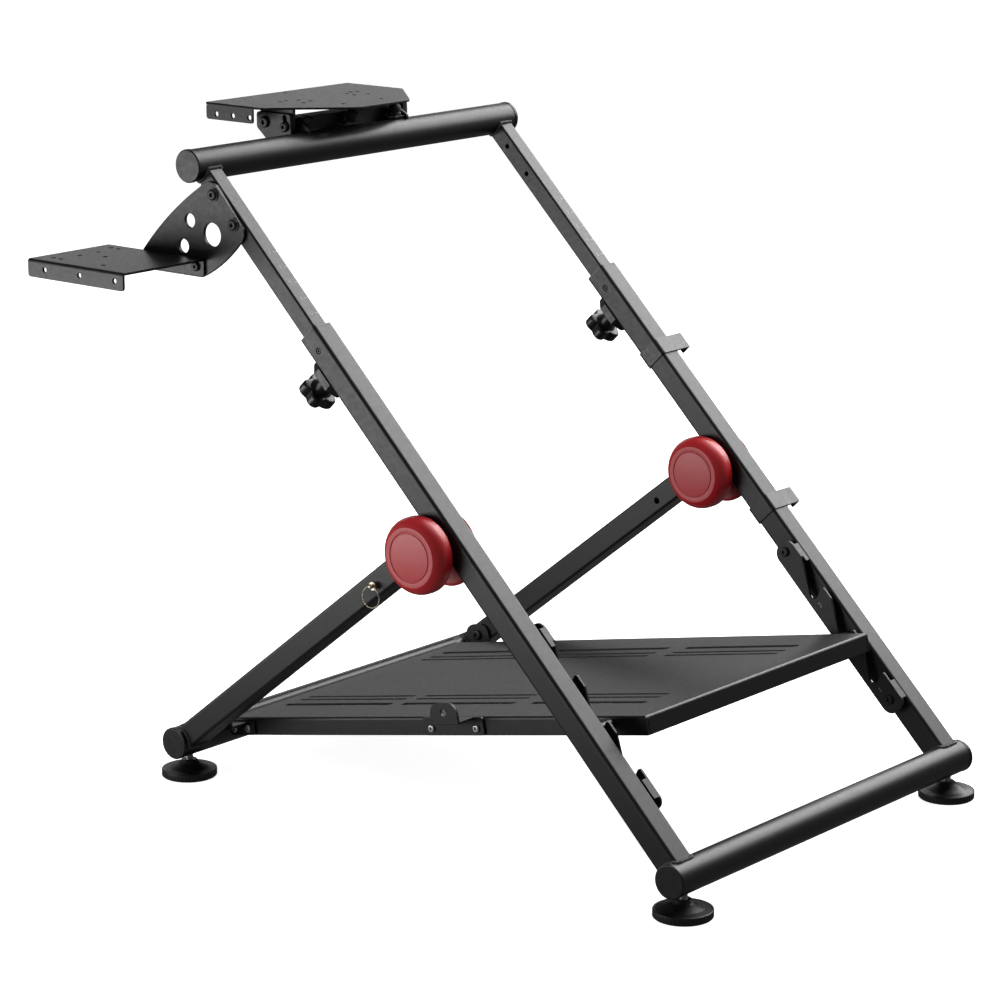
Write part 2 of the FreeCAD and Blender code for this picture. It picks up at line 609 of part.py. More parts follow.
def wheel_plate():
    """The plate that the steering wheel bolts to, with the ears it tilts on."""
    top = PLATE_TOP
    rear = PLATE_REAR
    shoulder = PLATE_SHOULDER
    front = PLATE_NOSE
    half = PLATE_HALF
    nose = PLATE_NOSE_HALF
    ring = [(-half, rear, 3), (half, rear, 3), (half, shoulder, 14), (nose, front, 20),
            (-nose, front, 20), (-half, shoulder, 14)]
    plate = Part.Face(outline(ring)).extrude(V(0, 0, PLATE_T))
    plate.translate(V(0, 0, top - PLATE_T))
    flange_end = shoulder - 12
    flange_pts = [(rear + 2, top - PLATE_FLANGE, 4), (flange_end, top - PLATE_FLANGE, 3),
                  (flange_end, top - 1, 0), (rear + 2, top - 1, 5)]
    flange = slab(flange_pts, half - PLATE_T, PLATE_T)
    for y in (-816, -788.5, -761):
        flange = flange.cut(rod_x(PLATE_HOLE_R, half - 5, half + 5, y, top - 13))
    plate = plate.fuse(both(flange)).removeSplitter()
    bend = box(half - 2, half + 1, rear - 1, shoulder + 1, top - 2, top + 1)
    bend = bend.cut(rod(2.0, V(half - 2, rear - 2, top - 2), V(half - 2, shoulder + 2, top - 2)))
    plate = plate.cut(both(bend))
    for x, y in ((58, -767), (58, -738), (69, -766), (43.5, -760), (39, -744), (34, -695)):
        for side in (-1, 1):
            plate = plate.cut(rod(PLATE_HOLE_R, V(side * x, y, top - 5), V(side * x, y, top + 1)))
    plate = plate.cut(rod(PLATE_HOLE_R, V(0, -824, top - 5), V(0, -824, top + 1)))
    add("wheel_plate", plate)
    ear_pts = [(-769, top - PLATE_T, 0), (-769, 729, 8), (-741, 727, 8), (-726, 722, 4),
               (-715, 726, 4), (-715, top - PLATE_T, 0)]
    outer = CHEEK_X - 0.5
    ear = slab(ear_pts, outer - 4, 4)
    lock_y, lock_z = tilt_point(TILT_LOCK_R, -TILT_LOCK_DROP)
    ear = ear.cut(rod_x(4.06, outer - 5, outer + 1, TILT_Y, TILT_Z))
    ear = ear.cut(rod_x(3.05, outer - 5, outer + 1, lock_y, lock_z))
    add("tilt_ears", *both(ear))
    locks = []
    for side in (-1, 1):
        face = side * (CHEEK_X + CHEEK_PLATE_T + 0.3)
        head = button_head(6.0, 4.0, face, lock_y, lock_z, side)
        shank = rod_x(3.0, face, side * (outer - 4), lock_y, lock_z)
        nut = rod_x(5.5, side * (outer - 4), side * (outer - 9), lock_y, lock_z)
        locks.append(head.fuse([shank, nut]).removeSplitter())
    add("tilt_lock_bolts", *locks)


# ---- legs: tubes, hinge cheeks, bolts and round covers, lock pin ----

def legs():
    rear = rod_x(COPE_R, -BAR_HALF, BAR_HALF, REAR_BAR_Y, 0)
    half = LEG_W / 2
    hinge_a = radians(LEG_ANGLE)
    dy = HINGE.y - REAR_BAR_Y
    hinge_along = dy * cos(hinge_a) + HINGE.z * sin(hinge_a)
    hinge_off = HINGE.z * cos(hinge_a) - dy * sin(hinge_a)
    lay = FreeCAD.Matrix(1, 0, 0, 0, 0, 0, 1, 0, 0, -1, 0, 0, 0, 0, 0, 1)
    for name, side in SIDES:
        tube = moved(square_tube(LEG_W, LEG_H, LEG_WALL, 3.5, 0, LEG_END), lay)
        inner_face = -side * half
        tube = tube.cut(rod_x(PIVOT_R, 0, inner_face * 1.1, DECK_PIVOT_ALONG, 0))
        tube = tube.cut(rod_x(PIN_R + 0.06, -half - 1, half + 1, PIN_ALONG, PIN_OFF))
        placed = on_leg(at(tube, V(side * SLEEVE_X, 0, 0)))
        add(f"leg_tube_{name}", placed.cut(rear))
    cheek_h = LEG_H / 2 - LEG_WALL - 0.05
    cheeks = []
    for x0 in (SLEEVE_X - LUG_T / 2 - 0.4 - CHEEK_T, SLEEVE_X + LUG_T / 2 + 0.4):
        pts = [(LEG_END - 40, -cheek_h, 3), (LEG_END, -cheek_h, 0), (hinge_along, hinge_off - HINGE_EYE_R, 0),
               (hinge_along + 4, hinge_off + HINGE_EYE_R - 1, 0), (LEG_END, cheek_h, 0),
               (LEG_END - 40, cheek_h, 3)]
        cheek = slab(pts, x0, CHEEK_T).fuse(rod_x(HINGE_EYE_R, x0, x0 + CHEEK_T, hinge_along, hinge_off))
        cheek = cheek.cut(rod_x(HINGE_BOLT_R + 0.02, x0 - 1, x0 + CHEEK_T + 1, hinge_along, hinge_off))
        cheeks.append(on_leg(cheek.removeSplitter()))
    add("hinge_cheeks", *(cheeks + [mirrored(c) for c in cheeks]))
    bolt = rod_x(HINGE_BOLT_R, -half - THIN_T + 6, half + DISC_T - 6, HINGE.y, HINGE.z)
    add("hinge_bolts", *[at(bolt, V(side * SLEEVE_X, 0, 0)) for name, side in SIDES])


def hinge_cover(thickness, face_r, swell):
    """A round cover, its back in the YZ plane at x = 0: it swells, then rounds in to a flat face."""
    r = DISC_R
    t = thickness
    bore = HINGE_BOLT_R + 0.02
    wide = V(r, swell * t, 0)
    brink = V(face_r + 1.0, t - 0.7, 0)
    run = wide.x - brink.x
    rise = brink.y - wide.y
    bend = (run * run + rise * rise) / (2 * run)
    half = acos(1 - run / bend) / 2
    via = V(wide.x - bend * (1 - cos(half)), wide.y + bend * sin(half), 0)
    rest = [brink, V(face_r, t, 0), V(GROOVE_R + 0.7, t, 0), V(GROOVE_R + 0.4, t - 1, 0),
            V(GROOVE_R - 0.4, t - 1, 0), V(GROOVE_R - 0.7, t, 0), V(0, t, 0), V(0, t - 5.5, 0),
            V(bore, t - 5.5, 0), V(bore, 0, 0), V(r - 3.5, 0, 0), V(r, 0.18 * t, 0), wide]
    edges = [Part.Arc(wide, via, brink).toShape()]
    edges += [Part.LineSegment(a, b).toShape() for a, b in zip(rest, rest[1:])]
    solid = Part.Face(Part.Wire(edges)).revolve(V(0, 0, 0), V(0, 1, 0), 360)
    stand = FreeCAD.Matrix(0, 1, 0, 0, 1, 0, 0, 0, 0, 0, -1, 0, 0, 0, 0, 1)
    return moved(solid, stand)


def hinge_covers():
    """Each hinge has its deep cover facing +X and its shallow one facing -X."""
    deep = at(hinge_cover(DISC_T, DISC_FACE_R, DISC_SWELL), V(LEG_W / 2, HINGE.y, HINGE.z))
    shallow = at(mirrored(hinge_cover(THIN_T, THIN_FACE_R, THIN_SWELL)), V(-LEG_W / 2, HINGE.y, HINGE.z))
    for name, side in SIDES:
        outer = deep if side > 0 else shallow
        inner = shallow if side > 0 else deep
        add(f"hinge_cover_outer_{name}", at(outer, V(side * SLEEVE_X, 0, 0)))
        add(f"hinge_cover_inner_{name}", at(inner, V(side * SLEEVE_X, 0, 0)))


def lock_pin():
    """A pull pin whose ball end carries a ring; pushed in, its tip enters the lock tab."""
    face = SLEEVE_X + LEG_W / 2
    stop = face + PIN_IN + 0.2
    shank = rod_x(PIN_R, SLEEVE_X - LEG_W / 2 + 0.1, stop, PIN.y, PIN.z)
    collar = rod_x(PIN_R + 0.9, stop, stop + 1.2, PIN.y, PIN.z)
    ball = Part.makeSphere(BALL_R, V(RING_X, PIN.y, PIN.z))
    hole = rod(RING_WIRE + 0.5, V(RING_X, PIN.y - 5, PIN.z), V(RING_X, PIN.y + 5, PIN.z))
    add("lock_pin", shank.fuse([collar, ball]).removeSplitter().cut(hole))
    add("lock_pin_ring", Part.makeTorus(RING_R, RING_WIRE, V(RING_X, PIN.y, PIN.z - RING_R), X_AXIS))


RING_X = SLEEVE_X + LEG_W / 2 + 8.6


# ---- pedal deck: folded tray, cross rod, hinge brackets and the lock tab ----

def deck():
    top = DECK_TOP
    low = top - DECK_SKIRT
    tray = box(-DECK_HALF, DECK_HALF, DECK_REAR, DECK_FRONT, low, top)
    bends = [e for e in tray.Edges if abs(e.BoundBox.ZMin - top) < 1e-6
             and (abs(e.BoundBox.YMin - DECK_FRONT) < 1e-6 or e.BoundBox.YMax - e.BoundBox.YMin > 100)]
    tray = tray.makeFillet(3.5, bends)
    s = DECK_SHEET
    tray = tray.cut(box(s - DECK_HALF, DECK_HALF - s, DECK_REAR - 1, DECK_FRONT - s, low - 1, top - s))
    for x, width in SLOT_ROWS:
        for y0, y1 in SLOT_SPANS:
            for side in (-1, 1):
                tray = tray.cut(obround(side * x, y0, y1, width, top - 4, top + 1))
    for side in (-1, 1):
        edge = sorted((side * (DECK_HALF - s - 0.2), side * (DECK_HALF - s - 1.4)))
        tray = tray.cut(box(edge[0], edge[1], DECK_FRONT - s - 1, DECK_FRONT + 1, low - 1, top - 6))
    rod_y, rod_z = deck_coords(main_point(NOTCH_FIRST + NOTCH_PITCH, NOTCH_K))
    tray = tray.cut(rod_x(ROD_R + 0.02, -DECK_HALF - 1, DECK_HALF + 1, rod_y, rod_z))
    inner = LIP_R
    outer = LIP_R + s
    lip = rod_x(outer, -DECK_HALF + 4, DECK_HALF - 4, DECK_REAR, top + inner)
    lip = lip.cut(rod_x(inner, -DECK_HALF, DECK_HALF, DECK_REAR, top + inner))
    quarter = box(-DECK_HALF, DECK_HALF, DECK_REAR - outer - 1, DECK_REAR, top - s - 1, top + inner)
    tray = tray.fuse(lip.common(quarter)).removeSplitter()
    add("pedal_deck", on_deck(tray))
    cross_rod = rod_x(ROD_R, -ROD_HALF, ROD_HALF, rod_y, rod_z)
    ends = [e for e in cross_rod.Edges if e.BoundBox.XMax - e.BoundBox.XMin < 1e-6]
    add("deck_cross_rod", on_deck(cross_rod.makeChamfer(1.0, ends)))


def obround(x, y0, y1, width, z0, z1):
    r = width / 2
    slot = box(x - r, x + r, y0 + r, y1 - r, z0, z1)
    ends = [rod(r, V(x, y, z0), V(x, y, z1)) for y in (y0 + r, y1 - r)]
    return slot.fuse(ends)


def offset_bracket(eye, hole_r, ledge_z, top_z, half_width, base):
    """A plate screwed to the skirt, stepped outwards to a round-topped tab with a hole."""
    y, z = eye
    base_pts = [(base[0], DECK_TOP - DECK_SKIRT + 0.6, 4), (base[1], DECK_TOP - DECK_SKIRT + 0.6, 4),
                (base[1], ledge_z, 3), (base[0], ledge_z, 3)]
    solid = slab(base_pts, DECK_HALF, TAB_T)
    ledge = box(DECK_HALF, TAB_X + TAB_T, y - half_width, y + half_width, ledge_z - TAB_T, ledge_z)
    solid = solid.fuse(ledge)
    tab_pts = [(y - half_width, ledge_z - TAB_T, 0), (y + half_width, ledge_z - TAB_T, 0),
               (y + half_width, top_z, half_width * 0.72), (y - half_width, top_z, half_width * 0.72)]
    solid = solid.fuse(slab(tab_pts, TAB_X, TAB_T)).removeSplitter()
    return solid.cut(rod_x(hole_r, TAB_X - 1, TAB_X + TAB_T + 1, y, z))


def deck_brackets():
    screw_z = DECK_TOP - 13.2
    sites = [(y, side) for y in REAR_SCREWS for side in (-1, 1)] + [(y, 1) for y in LOCK_SCREWS]
    heads = []
    rear = offset_bracket((0, 0), PIVOT_R + 0.06, -9, 14, 19, (-9, 33))
    distance = PIN_ALONG - DECK_PIVOT_ALONG
    a = radians(LEG_ANGLE - DECK_ANGLE - FOLD_TURN)
    eye = (distance * cos(a) - PIN_OFF * sin(a), distance * sin(a) + PIN_OFF * cos(a))
    lock = offset_bracket(eye, PIN_R + 0.3, DECK_TOP, 19, 20.5, (312, 404))
    for y, side in sites:
        face = side * (DECK_HALF + TAB_T)
        shank = rod_x(2.45, face, side * (DECK_HALF - DECK_SHEET - 3), y, screw_z)
        head = button_head(4.6, 2.8, face, y, screw_z, side)
        heads.append(on_deck(head.fuse(shank).removeSplitter()))
    holes = [rod_x(2.5, DECK_HALF - 1, DECK_HALF + TAB_T + 1, y, screw_z) for y in REAR_SCREWS]
    rear = on_deck(rear.cut(holes[0]).cut(holes[1]))
    for y in LOCK_SCREWS:
        lock = lock.cut(rod_x(2.5, DECK_HALF - 1, DECK_HALF + TAB_T + 1, y, screw_z))
    for name, side in SIDES:
        add(f"deck_hinge_bracket_{name}", rear if side > 0 else mirrored(rear))
    add("lock_tab_bracket", on_deck(lock))
    add("deck_bracket_screws", *heads)
    skirt = NODES["pedal_deck"]
    for y, side in sites:
        skirt = skirt.cut(on_deck(rod_x(2.5, side * (DECK_HALF - 6), side * (DECK_HALF + 1), y, screw_z)))
    NODES["pedal_deck"] = skirt
    inner_face = SLEEVE_X - LEG_W / 2
    pivots = []
    for side in (-1, 1):
        face = side * (TAB_X - 0.4)
        head = button_head(7.0, 3.6, face, DECK_PIVOT.y, DECK_PIVOT.z, -side)
        shank = rod_x(PIVOT_R, face, side * (inner_face + 12), DECK_PIVOT.y, DECK_PIVOT.z)
        collar = rod_x(8.0, side * (TAB_X + TAB_T + 0.3), side * inner_face, DECK_PIVOT.y, DECK_PIVOT.z)
        pivots.append(head.fuse([shank, collar]).removeSplitter())
    add("deck_pivot_bolts", *pivots)


def build():
    top = main_point(MAIN_LENGTH, 0)
    crossbar("front_crossbar", V(0, 0, 0), True)
    crossbar("rear_crossbar", V(0, REAR_BAR_Y, 0), True)
    crossbar("top_crossbar", top, False)
    feet("front", V(0, 0, 0))
    feet("rear", V(0, REAR_BAR_Y, 0))
    main_frame()
    bushes_and_bosses()
    height_knobs()
    racks()
    cable_clips()
    mast()
    shifter_arm()
    wheel_bracket()
    wheel_plate()
    legs()
    hinge_covers()
    lock_pin()
    deck()
    deck_brackets()


build()
os.makedirs("parts", exist_ok=True)
for node, shape in NODES.items():
    if not shape.isValid() or not shape.Solids:
        print("check", node, shape.isValid(), len(shape.Solids))
    placed = shape.copy()
    placed.translate(V(-ORIGIN.x, -ORIGIN.y, -ORIGIN.z))
    placed.exportStep(f"parts/{node}.step")
print(len(NODES), "nodes; origin at", tuple(ORIGIN))
for label, point in (("hinge", HINGE), ("deck pivot", DECK_PIVOT), ("pin", PIN)):
    print(label, tuple(point - ORIGIN))
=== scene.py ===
import json
import random
from math import acos, ceil, cos, pi, radians, sin, sqrt, tan

import bmesh
import bpy
from mathutils import Matrix, Vector


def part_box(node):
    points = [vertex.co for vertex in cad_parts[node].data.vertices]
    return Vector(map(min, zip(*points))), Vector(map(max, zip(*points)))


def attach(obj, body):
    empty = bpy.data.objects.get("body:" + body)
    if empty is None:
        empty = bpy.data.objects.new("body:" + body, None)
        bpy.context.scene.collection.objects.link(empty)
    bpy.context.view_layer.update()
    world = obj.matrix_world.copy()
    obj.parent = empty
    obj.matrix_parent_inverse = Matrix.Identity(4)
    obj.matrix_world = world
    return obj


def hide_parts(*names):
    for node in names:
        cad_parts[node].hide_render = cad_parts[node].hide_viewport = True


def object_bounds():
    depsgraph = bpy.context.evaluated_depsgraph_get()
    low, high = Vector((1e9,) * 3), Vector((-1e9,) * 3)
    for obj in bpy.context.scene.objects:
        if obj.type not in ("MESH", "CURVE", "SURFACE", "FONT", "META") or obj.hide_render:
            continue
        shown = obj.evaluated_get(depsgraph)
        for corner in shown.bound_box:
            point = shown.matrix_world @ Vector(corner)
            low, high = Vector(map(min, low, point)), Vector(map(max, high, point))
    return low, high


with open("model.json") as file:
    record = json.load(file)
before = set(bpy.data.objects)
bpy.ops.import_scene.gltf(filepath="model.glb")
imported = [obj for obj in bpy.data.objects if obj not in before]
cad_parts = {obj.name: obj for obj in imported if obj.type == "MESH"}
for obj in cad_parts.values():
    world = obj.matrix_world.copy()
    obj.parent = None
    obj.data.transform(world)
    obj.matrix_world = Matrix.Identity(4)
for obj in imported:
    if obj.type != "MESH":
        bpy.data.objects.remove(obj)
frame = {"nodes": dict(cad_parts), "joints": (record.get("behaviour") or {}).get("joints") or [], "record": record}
CAD_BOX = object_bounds()
RECORD = frame["record"]
NODES = frame["nodes"]
MM = 0.001

# ---- landmarks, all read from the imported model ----

X_AXIS = Vector((1, 0, 0))


def middle(node):
    low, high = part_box(node)
    return (low + high) / 2


def joint(name):
    return next(j for j in frame["joints"] if j["name"] == name)


FRONT_BAR = middle("front_crossbar")
REAR_BAR = middle("rear_crossbar")
TOP_BAR = middle("top_crossbar")
BAR_R = (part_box("front_crossbar")[1].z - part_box("front_crossbar")[0].z) / 2
TUBE_UP = Vector(joint("height_slide")["axis"])
TUBE_FRONT = TUBE_UP.cross(X_AXIS)
TUBE_X = abs(middle("sleeve_tube_right").x - FRONT_BAR.x)
DECK_PIVOT = Vector(joint("deck_fold")["pos_m"])
LEG_UP = (DECK_PIVOT - REAR_BAR) * Vector((0, 1, 1))
LEG_UP.normalize()
LEG_FRONT = LEG_UP.cross(X_AXIS)
SIDES = (("left", -1), ("right", 1))


def on_tube(side, along, off=0.0, across=0.0):
    """A point on a main tube: along it from the front bar, off towards its front face, and outwards."""
    x = side * (TUBE_X + across)
    return FRONT_BAR + X_AXIS * x + TUBE_UP * along + TUBE_FRONT * off


# ---- procedural materials ----

class Surface:
    """A principled material with helpers that add procedural detail."""

    def __init__(self, name, roughness, **sockets):
        self.material = bpy.data.materials.new(name)
        self.material.use_nodes = True
        self.nodes = self.material.node_tree.nodes
        self.links = self.material.node_tree.links
        self.shader = self.nodes["Principled BSDF"]
        self.shader.inputs["Roughness"].default_value = roughness
        for label, value in sockets.items():
            self.shader.inputs[label.replace("_", " ")].default_value = value
        self.place = self.nodes.new("ShaderNodeTexCoord").outputs["Object"]
        self.normal = None

    def noise(self, size, detail=3.0, stretch=None, distortion=0.0):
        """Noise with features about size metres across."""
        source = self.place
        if stretch:
            mapping = self.nodes.new("ShaderNodeMapping")
            mapping.inputs["Scale"].default_value = stretch
            self.links.new(source, mapping.inputs["Vector"])
            source = mapping.outputs["Vector"]
        node = self.nodes.new("ShaderNodeTexNoise")
        node.inputs["Scale"].default_value = 1 / size
        node.inputs["Detail"].default_value = detail
        node.inputs["Distortion"].default_value = distortion
        self.links.new(source, node.inputs["Vector"])
        return node.outputs["Fac"]

    def cells(self, size):
        node = self.nodes.new("ShaderNodeTexVoronoi")
        node.inputs["Scale"].default_value = 1 / size
        self.links.new(self.place, node.inputs["Vector"])
        return node.outputs["Distance"]

    def remap(self, value, low, high, start=0.0, end=1.0):
        node = self.nodes.new("ShaderNodeMapRange")
        node.inputs["From Min"].default_value = start
        node.inputs["From Max"].default_value = end
        node.inputs["To Min"].default_value = low
        node.inputs["To Max"].default_value = high
        self.links.new(value, node.inputs["Value"])
        return node.outputs["Result"]

    def times(self, a, b):
        node = self.nodes.new("ShaderNodeMath")
        node.operation = "MULTIPLY"
        self.links.new(a, node.inputs[0])
        self.links.new(b, node.inputs[1])
        return node.outputs["Value"]

    def edges(self, radius, samples=4):
        """1 along sharp edges and 0 on flat areas; also rounds the shading there."""
        bevel = self.nodes.new("ShaderNodeBevel")
        bevel.samples = samples
        bevel.inputs["Radius"].default_value = radius
        geometry = self.nodes.new("ShaderNodeNewGeometry")
        dot = self.nodes.new("ShaderNodeVectorMath")
        dot.operation = "DOT_PRODUCT"
        self.links.new(bevel.outputs["Normal"], dot.inputs[0])
        self.links.new(geometry.outputs["Normal"], dot.inputs[1])
        self.normal = bevel.outputs["Normal"]
        return self.remap(dot.outputs["Value"], 1.0, 0.0, start=0.72, end=0.985)

    def bump(self, height, depth, strength=1.0):
        node = self.nodes.new("ShaderNodeBump")
        node.inputs["Strength"].default_value = strength
        node.inputs["Distance"].default_value = depth
        self.links.new(height, node.inputs["Height"])
        if self.normal:
            self.links.new(self.normal, node.inputs["Normal"])
        self.normal = node.outputs["Normal"]

    def colour(self, mask, low, high):
        """Blend the base colour from low to high by a mask, on top of any earlier blend."""
        node = self.nodes.new("ShaderNodeMix")
        node.data_type = "RGBA"
        colours = [s for s in node.inputs if s.type == "RGBA"]
        colours[1].default_value = (*high, 1)
        if isinstance(low, tuple):
            colours[0].default_value = (*low, 1)
        else:
            self.links.new(low, colours[0])
        factor = next(s for s in node.inputs if s.type == "VALUE")
        self.links.new(mask, factor)
        return next(s for s in node.outputs if s.type == "RGBA")

    def done(self, colour=None, roughness=None):
        if colour:
            self.links.new(colour, self.shader.inputs["Base Color"])
        if roughness:
            self.links.new(roughness, self.shader.inputs["Roughness"])
        if self.normal:
            self.links.new(self.normal, self.shader.inputs["Normal"])
        return self.material


def powder_coat():
    """Satin black powder coat: fine orange peel, faint mottling, a few dust specks and a painted dark reflection
    line along sharp edges.
    """
    s = Surface("powder_coat", 0.40)
    edge = s.edges(1.1 * MM)
    mottle = s.noise(30 * MM, 4)
    grain = s.noise(0.9 * MM, 2)
    speck = s.remap(s.noise(0.7 * MM, 1), 0.0, 1.0, start=0.66, end=0.80)
    base = s.colour(mottle, (0.0055, 0.0055, 0.0058), (0.0085, 0.0085, 0.0088))
    base = s.colour(speck, base, (0.022, 0.022, 0.023))
    # painted reflection: the edge mask darkens sharp edges to near black, standing in for the dark reflections
    # along the tube corners
    base = s.colour(edge, base, (0.002, 0.002, 0.0021))
    s.bump(grain, 0.05 * MM, 0.5)
    rough = s.remap(s.noise(5 * MM, 4), 0.36, 0.46, start=0.25, end=0.75)
    return s.done(base, rough)


def smooth_plastic(name, low, high, rough, grain=0.8, depth=0.05):
    """Moulded plastic with a fine spark-eroded texture. grain and depth are in millimetres."""
    s = Surface(name, rough)
    s.edges(0.7 * MM)
    mottle = s.noise(25 * MM, 3)
    base = s.colour(mottle, low, high)
    s.bump(s.noise(grain * MM, 2), depth * MM, 0.6)
    return s.done(base, s.remap(s.noise(5 * MM, 4), rough - 0.07, rough + 0.09, start=0.25, end=0.75))


def red_plastic():
    """Deep red moulded plastic with a fine matt texture."""
    s = Surface("red_cover_plastic", 0.38, Coat_Weight=0.45, Coat_Roughness=0.4)
    s.edges(0.5 * MM)
    mottle = s.noise(20 * MM, 3)
    base = s.colour(mottle, (0.68, 0.014, 0.022), (0.76, 0.018, 0.028))
    s.bump(s.noise(0.7 * MM, 2), 0.03 * MM, 0.5)
    return s.done(base, s.remap(s.noise(4 * MM, 4), 0.32, 0.44, start=0.25, end=0.75))


def zinc_steel():
    s = Surface("zinc_plated_steel", 0.3, Metallic=1.0)
    s.edges(0.3 * MM)
    streaks = s.noise(1.2 * MM, 4, stretch=(1, 1, 6))
    base = s.colour(s.noise(6 * MM, 3), (0.50, 0.50, 0.51), (0.66, 0.65, 0.63))
    s.bump(streaks, 0.02 * MM, 0.5)
    return s.done(base, s.remap(streaks, 0.22, 0.42))


def ring_wire():
    """Bright spring wire with a warm pale plating."""
    s = Surface("ring_wire", 0.28, Metallic=1.0)
    s.edges(0.2 * MM)
    base = s.colour(s.noise(2 * MM, 3), (0.78, 0.66, 0.50), (0.90, 0.80, 0.66))
    s.bump(s.noise(0.5 * MM, 3), 0.01 * MM, 0.4)
    return s.done(base, s.remap(s.noise(1 * MM, 3), 0.22, 0.36))


def black_oxide():
    s = Surface("black_oxide_steel", 0.38, Metallic=0.6)
    edge = s.edges(0.35 * MM)
    mottle = s.noise(3 * MM, 3)
    base = s.colour(mottle, (0.025, 0.025, 0.027), (0.045, 0.045, 0.048))
    base = s.colour(s.times(edge, mottle), base, (0.22, 0.21, 0.20))
    s.bump(s.noise(0.7 * MM, 2), 0.03 * MM, 0.5)
    return s.done(base, s.remap(mottle, 0.3, 0.48))


def rubber():
    s = Surface("bumper_rubber", 0.7)
    s.edges(0.6 * MM)
    base = s.colour(s.noise(8 * MM, 4), (0.016, 0.016, 0.016), (0.028, 0.028, 0.027))
    s.bump(s.noise(1.0 * MM, 4), 0.06 * MM, 0.7)
    return s.done(base, s.remap(s.noise(3 * MM, 3), 0.6, 0.8))


def weld_metal():
    """Coated-over weld: smoother and greyer than the flat areas."""
    s = Surface("coated_weld", 0.32)
    base = s.colour(s.noise(3 * MM, 4), (0.045, 0.045, 0.047), (0.11, 0.11, 0.112))
    s.bump(s.noise(1.4 * MM, 3), 0.14 * MM, 0.6)
    return s.done(base, s.remap(s.noise(2 * MM, 2), 0.24, 0.42))


def printed_mark():
    s = Surface("printed_mark", 0.55)
    base = s.colour(s.noise(1.5 * MM, 3), (0.34, 0.34, 0.34), (0.52, 0.52, 0.52))
    s.bump(s.noise(0.6 * MM, 2), 0.02 * MM, 0.4)
    return s.done(base, s.remap(s.noise(1 * MM, 2), 0.45, 0.65))


MATERIALS = {
    "black_powder_coat": powder_coat(),
    "black_plastic": smooth_plastic(
        "black_plastic", (0.006, 0.006, 0.0063), (0.010, 0.010, 0.0105), rough=0.36),
    "foot_plastic": smooth_plastic(
        "foot_plastic", (0.004, 0.004, 0.0042), (0.007, 0.007, 0.0074), rough=0.42, grain=1.1, depth=0.09),
    "red_plastic": red_plastic(),
    "zinc_steel": zinc_steel(),
    "black_fastener": black_oxide(),
    "bumper_rubber": rubber(),
}
WELD = weld_metal()
RING_WIRE = ring_wire()
MARK = printed_mark()


def dress_cad_nodes():
    for row in RECORD["subparts"]:
        node = NODES[row["node"]]
        node.data.materials.clear()
        node.data.materials.append(MATERIALS[row["material_slot"]])


# ---- mesh helpers ----

def axis_frame(origin, axis, up=None):
    """A matrix whose local Z is axis, placed at origin; local X is as close to up as it can be."""
    z = axis.normalized()
    guide = up or (X_AXIS if abs(z.x) < 0.9 else Vector((0, 0, 1)))
    x = (guide - z * guide.dot(z)).normalized()
    y = z.cross(x)
    return Matrix.Translation(origin) @ Matrix((x, y, z)).transposed().to_4x4()


def piece(name, mesh, body, slot_name, material=None, replaced=()):
    """Put a mesh in the scene as a piece of the object."""
    obj = bpy.data.objects.new(name, mesh)
    bpy.context.scene.collection.objects.link(obj)
    mesh.materials.clear()
    mesh.materials.append(material or MATERIALS[slot_name])
    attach(obj, body)
    if replaced:
        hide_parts(*replaced)
    return obj


def finished(name, bm, sharp=35.0):
    """Turn a bmesh into a mesh with smooth faces and sharp edges kept sharp."""
    bmesh.ops.remove_doubles(bm, verts=bm.verts, dist=1e-7)
    bmesh.ops.recalc_face_normals(bm, faces=bm.faces)
    limit = radians(sharp)
    for face in bm.faces:
        face.smooth = True
    for edge in bm.edges:
        if len(edge.link_faces) == 2 and edge.calc_face_angle(0) > limit:
            edge.smooth = False
    mesh = bpy.data.meshes.new(name)
    bm.to_mesh(mesh)
    bm.free()
    return mesh


def rounded(profile, steps=5):
    """Replace each (radius, height, corner) corner of a profile with an arc of that size."""
    points = []
    last = len(profile) - 1
    for i, (r, z, corner) in enumerate(profile):
        here = Vector((r, z))
        if corner == 0 or i in (0, last):
            points.append(here)
            continue
        back = (Vector(profile[i - 1][:2]) - here).normalized()
        ahead = (Vector(profile[i + 1][:2]) - here).normalized()
        half = back.angle(ahead) / 2
        start = here + back * (corner / tan(half))
        end = here + ahead * (corner / tan(half))
        centre = here + (back + ahead).normalized() * (corner / sin(half))
        first = start - centre
        turn = first.angle_signed(end - centre)
        for k in range(steps + 1):
            a = -turn * k / steps
            spun = Vector((first.x * cos(a) - first.y * sin(a), first.x * sin(a) + first.y * cos(a)))
            points.append(centre + spun)
    return points


def lathe(bm, matrix, points, segments=96, radius_at=None):
    """Spin a profile about local Z. radius_at(angle, radius, index) can shape each ring."""
    rings = []
    for index, (r, z) in enumerate(points):
        if r < 1e-7:
            rings.append([bm.verts.new(matrix @ Vector((0, 0, z)))])
            continue
        ring = []
        for k in range(segments):
            a = 2 * pi * k / segments
            shaped = radius_at(a, r, index) if radius_at else r
            ring.append(bm.verts.new(matrix @ Vector((shaped * cos(a), shaped * sin(a), z))))
        rings.append(ring)
    for low, high in zip(rings, rings[1:]):
        for k in range(segments):
            j = (k + 1) % segments
            corners = [low[k % len(low)], low[j % len(low)], high[j % len(high)], high[k % len(high)]]
            unique = list(dict.fromkeys(corners))
            if len(unique) > 2:
                bm.faces.new(unique)


